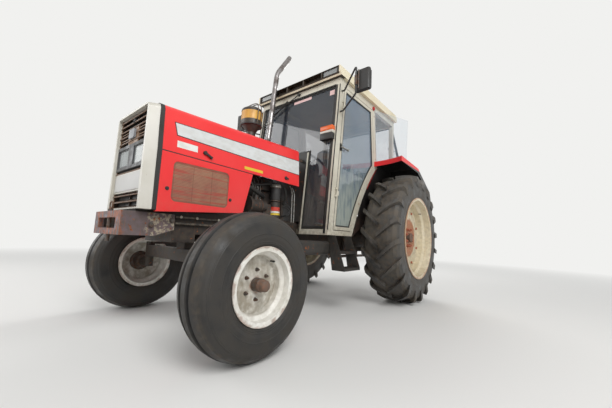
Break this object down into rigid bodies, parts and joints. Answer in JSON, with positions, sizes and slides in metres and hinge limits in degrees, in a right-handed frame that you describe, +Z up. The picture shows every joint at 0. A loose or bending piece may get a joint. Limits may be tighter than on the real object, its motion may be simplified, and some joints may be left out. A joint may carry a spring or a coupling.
{
  "type": "farm tractor",
  "caption": "Two-wheel-drive farm tractor with a closed cab, lifting hood, steering front wheels, opening doors and a rear three-point linkage.",
  "frame": {"origin": "on the ground under the middle of the whole machine", "axes": "+Z up, the front towards -Y, the tractor's left side at +X"},
  "size_m": [2.14, 3.822, 3.0966],
  "materials": {
    "red_paint": "gloss",
    "cream_paint": "satin",
    "grey_paint": "satin",
    "rim_paint": "satin",
    "cast_iron": "rough",
    "steel": "worn",
    "exhaust_steel": "satin",
    "tyre": "dusty",
    "rubber": "matte",
    "black_plastic": "matte",
    "amber_plastic": "aged",
    "glass": "clear",
    "lamp_glass": "ribbed",
    "seat_vinyl": "worn"
  },
  "bodies": {
    "chassis": {"engine_block": "cast_iron", "gearbox": "cast_iron", "rear_axle_housing": "cast_iron", "front_support": "cast_iron", "front_axle_beam": "cast_iron", "front_weight_frame": "cast_iron", "tow_pin": "steel", "radiator": "black_plastic", "hood_hinge_arms": "steel", "side_panels": "red_paint", "hood_seal": "rubber", "grille_surround": "grey_paint", "grille_louvres": "black_plastic", "lamp_bar": "black_plastic", "headlamps": "lamp_glass", "exhaust_pipe": "exhaust_steel", "cab_frame": "cream_paint", "bulkhead": "cream_paint", "cab_floor": "cream_paint", "windscreen": "glass", "rear_window": "glass", "quarter_windows": "glass", "roof": "cream_paint", "driver_seat": "seat_vinyl", "dashboard": "black_plastic", "steps": "steel", "fuel_tank": "steel", "drawbar": "steel", "pto_shaft": "steel", "fender_left": "red_paint", "mirror_left": "black_plastic", "fender_right": "red_paint", "mirror_right": "black_plastic"},
    "knuckle_left": {"knuckle_left": "cast_iron"},
    "front_wheel_left": {"front_tyre_left": "tyre", "front_rim_left": "rim_paint", "front_hub_left": "cast_iron"},
    "rear_wheel_left": {"rear_tyre_left": "tyre", "rear_rim_left": "rim_paint", "rear_hub_left": "cast_iron"},
    "door_left": {"door_frame_left": "cream_paint", "door_glass_left": "glass"},
    "lower_link_left": {"lower_link_left": "steel"},
    "lift_rod_left": {"lift_rod_left": "steel"},
    "knuckle_right": {"knuckle_right": "cast_iron"},
    "front_wheel_right": {"front_tyre_right": "tyre", "front_rim_right": "rim_paint", "front_hub_right": "cast_iron"},
    "rear_wheel_right": {"rear_tyre_right": "tyre", "rear_rim_right": "rim_paint", "rear_hub_right": "cast_iron"},
    "door_right": {"door_frame_right": "cream_paint", "door_glass_right": "glass"},
    "lower_link_right": {"lower_link_right": "steel"},
    "lift_rod_right": {"lift_rod_right": "steel"},
    "tie_rod": {"tie_rod": "steel"},
    "hood": {"hood": "red_paint", "pre_cleaner": "amber_plastic"},
    "steering_wheel": {"steering_wheel": "black_plastic"},
    "lift_arms": {"lift_arms": "steel"}
  },
  "joints": [
    {"name": "steer_left", "type": "hinge", "parent": "chassis", "child": "knuckle_left", "pos_m": [0.64, -1.363, 0.5], "axis": [0, 0, 1], "range_deg": [-45, 45]},
    {"name": "steer_right", "type": "hinge", "parent": "chassis", "child": "knuckle_right", "pos_m": [-0.64, -1.363, 0.5], "axis": [0, 0, 1], "range_deg": [-45, 45]},
    {"name": "tie_rod_pivot", "type": "hinge", "parent": "knuckle_left", "child": "tie_rod", "pos_m": [0.64, -1.198, 0.651], "axis": [0, 0, 1], "range_deg": [-45, 45]},
    {"name": "steering_wheel_turn", "type": "hinge", "parent": "chassis", "child": "steering_wheel", "pos_m": [0, 0.137, 1.6], "axis": [0, 0.4856, 0.8742], "range_deg": [-405, 405]},
    {"name": "front_wheel_left_spin", "type": "hinge", "parent": "knuckle_left", "child": "front_wheel_left", "pos_m": [0.826, -1.363, 0.428], "axis": [1, 0, 0], "continuous": true},
    {"name": "front_wheel_right_spin", "type": "hinge", "parent": "knuckle_right", "child": "front_wheel_right", "pos_m": [-0.826, -1.363, 0.428], "axis": [1, 0, 0], "continuous": true},
    {"name": "rear_wheel_left_spin", "type": "hinge", "parent": "chassis", "child": "rear_wheel_left", "pos_m": [0.862, 0.997, 0.77], "axis": [1, 0, 0], "continuous": true},
    {"name": "rear_wheel_right_spin", "type": "hinge", "parent": "chassis", "child": "rear_wheel_right", "pos_m": [-0.862, 0.997, 0.77], "axis": [1, 0, 0], "continuous": true},
    {"name": "door_left_swing", "type": "hinge", "parent": "chassis", "child": "door_left", "pos_m": [0.617, -0.15341, 1.18], "axis": [0, -0.0928, -0.9957], "range_deg": [0, 70]},
    {"name": "door_right_swing", "type": "hinge", "parent": "chassis", "child": "door_right", "pos_m": [-0.617, -0.15341, 1.18], "axis": [0, 0.0928, 0.9957], "range_deg": [0, 70]},
    {"name": "hood_lift", "type": "hinge", "parent": "chassis", "child": "hood", "pos_m": [0, -0.415, 1.578], "axis": [-1, 0, 0], "range_deg": [0, 45]},
    {"name": "lift_arms_turn", "type": "hinge", "parent": "chassis", "child": "lift_arms", "pos_m": [0, 1.259, 0.985], "axis": [1, 0, 0], "range_deg": [-28, 26]},
    {"name": "lower_link_left_swing", "type": "hinge", "parent": "chassis", "child": "lower_link_left", "pos_m": [0.25, 1.127, 0.592], "axis": [1, 0, 0], "range_deg": [-21, 21]},
    {"name": "lift_rod_left_swing", "type": "hinge", "parent": "lift_arms", "child": "lift_rod_left", "pos_m": [0.295, 1.557, 1.006], "axis": [1, 0, 0], "range_deg": [-30, 30]},
    {"name": "lower_link_right_swing", "type": "hinge", "parent": "chassis", "child": "lower_link_right", "pos_m": [-0.25, 1.127, 0.592], "axis": [1, 0, 0], "range_deg": [-21, 21]},
    {"name": "lift_rod_right_swing", "type": "hinge", "parent": "lift_arms", "child": "lift_rod_right", "pos_m": [-0.295, 1.557, 1.006], "axis": [1, 0, 0], "range_deg": [-30, 30]}
  ],
  "couplings": [
    {"joint": "steer_right", "follows": "steer_left", "ratio": 1},
    {"joint": "tie_rod_pivot", "follows": "steer_left", "ratio": -1},
    {"joint": "steering_wheel_turn", "follows": "steer_left", "ratio": 9},
    {"joint": "lower_link_left_swing", "follows": "lift_arms_turn", "ratio": 0.727},
    {"joint": "lift_rod_left_swing", "follows": "lift_arms_turn", "ratio": -0.98},
    {"joint": "lower_link_right_swing", "follows": "lift_arms_turn", "ratio": 0.727},
    {"joint": "lift_rod_right_swing", "follows": "lift_arms_turn", "ratio": -0.98}
  ]
}
